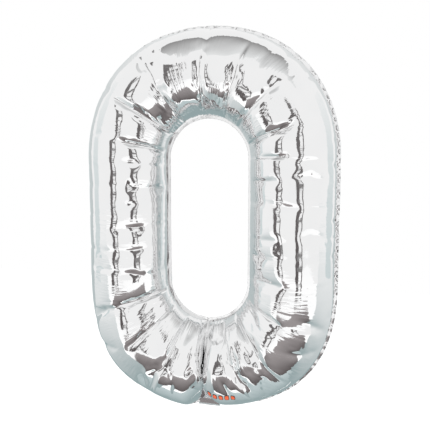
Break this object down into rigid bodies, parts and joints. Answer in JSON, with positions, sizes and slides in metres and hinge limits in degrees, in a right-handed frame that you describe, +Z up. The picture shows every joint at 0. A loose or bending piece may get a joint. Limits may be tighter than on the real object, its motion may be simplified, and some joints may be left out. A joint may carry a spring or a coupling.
{
  "type": "foil number balloon",
  "caption": "Inflated silver foil balloon shaped as the numeral zero, two heat-sealed sheets round an open middle, with a self-sealing valve and a folding tail.",
  "frame": {"origin": "where a ribbon is tied: on the fold line between the neck and the tail, at the bottom centre, in the plane of the seams", "axes": "+Z up along the numeral's height, +X across its width, the printed front face looks along -Y"},
  "size_m": [0.562, 0.184, 0.8352],
  "materials": {
    "foil": "vacuum-metallised silver film, mirror bright, finely wrinkled",
    "seal": "the same film, fused and finely ribbed by the sealing bar",
    "valve_film": "clear polyethylene film, slightly milky",
    "valve_weld": "fused polyethylene",
    "barrier_ink": "flat printed ink",
    "print_ink": "glossy printed ink"
  },
  "bodies": {
    "balloon": {"front_foil": "foil", "back_foil": "foil", "outer_seam": "seal", "hole_seam": "seal", "valve_front_film": "valve_film", "valve_back_film": "valve_film", "valve_edge_welds": "valve_weld", "heat_barrier": "barrier_ink", "print_patches": "print_ink"},
    "tail": {"tail_front_foil": "foil", "tail_back_foil": "foil", "tail_front_film": "valve_film", "tail_back_film": "valve_film", "tail_edge_welds": "seal", "tail_film_welds": "valve_weld"}
  },
  "joints": [
    {"name": "tail_fold", "type": "hinge", "parent": "balloon", "child": "tail", "pos_m": [0, 0, 0], "axis": [1, 0, 0], "range_deg": [-205, 25]}
  ]
}
